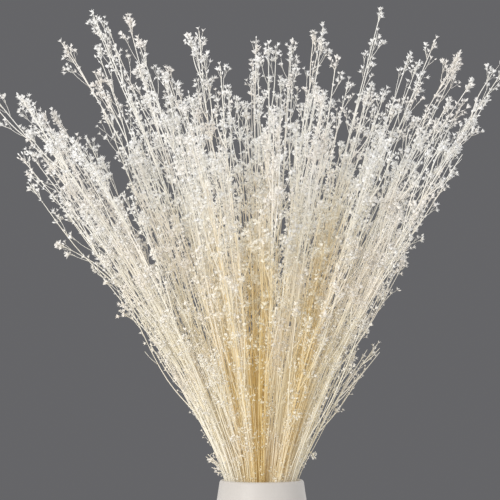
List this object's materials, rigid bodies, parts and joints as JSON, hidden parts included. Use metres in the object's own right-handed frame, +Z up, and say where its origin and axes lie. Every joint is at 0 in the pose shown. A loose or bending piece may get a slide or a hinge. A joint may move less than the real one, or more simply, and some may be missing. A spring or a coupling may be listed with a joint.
{
  "type": "dried gypsophila bunch in a vase",
  "caption": "Bunch of dried, bleached gypsophila: fine branching stems with small pale florets, fanning out over the rim of a plain round ceramic vase that stands on its flat foot.",
  "frame": {"origin": "centre of the vase's flat foot, on the surface that it stands on", "axes": "+Z up along the vase's axis; the bunch is seen from its front along +Y, with +X to the right"},
  "size_m": [0.4693, 0.3461, 0.6284],
  "materials": {
    "vase_ceramic": "satin",
    "dried_gypsophila": "matte"
  },
  "bodies": {
    "root": {"vase": "vase_ceramic", "stem_01": "dried_gypsophila", "stem_02": "dried_gypsophila", "stem_03": "dried_gypsophila", "stem_04": "dried_gypsophila", "stem_05": "dried_gypsophila", "stem_06": "dried_gypsophila", "stem_07": "dried_gypsophila", "stem_08": "dried_gypsophila", "stem_09": "dried_gypsophila", "stem_10": "dried_gypsophila", "stem_11": "dried_gypsophila", "stem_12": "dried_gypsophila", "stem_13": "dried_gypsophila", "stem_14": "dried_gypsophila", "stem_15": "dried_gypsophila", "stem_16": "dried_gypsophila", "stem_17": "dried_gypsophila", "stem_18": "dried_gypsophila", "stem_19": "dried_gypsophila", "stem_20": "dried_gypsophila", "stem_21": "dried_gypsophila", "stem_22": "dried_gypsophila", "stem_23": "dried_gypsophila", "stem_24": "dried_gypsophila", "stem_25": "dried_gypsophila", "stem_26": "dried_gypsophila", "stem_27": "dried_gypsophila", "stem_28": "dried_gypsophila", "stem_29": "dried_gypsophila", "stem_30": "dried_gypsophila", "stem_31": "dried_gypsophila", "stem_32": "dried_gypsophila", "stem_33": "dried_gypsophila", "stem_34": "dried_gypsophila", "stem_35": "dried_gypsophila", "stem_36": "dried_gypsophila", "stem_37": "dried_gypsophila", "stem_38": "dried_gypsophila", "stem_39": "dried_gypsophila", "stem_40": "dried_gypsophila", "stem_41": "dried_gypsophila", "stem_42": "dried_gypsophila", "stem_43": "dried_gypsophila", "stem_44": "dried_gypsophila", "stem_45": "dried_gypsophila", "stem_46": "dried_gypsophila", "stem_47": "dried_gypsophila", "stem_48": "dried_gypsophila", "stem_49": "dried_gypsophila", "stem_50": "dried_gypsophila", "stem_51": "dried_gypsophila"}
  },
  "joints": []
}
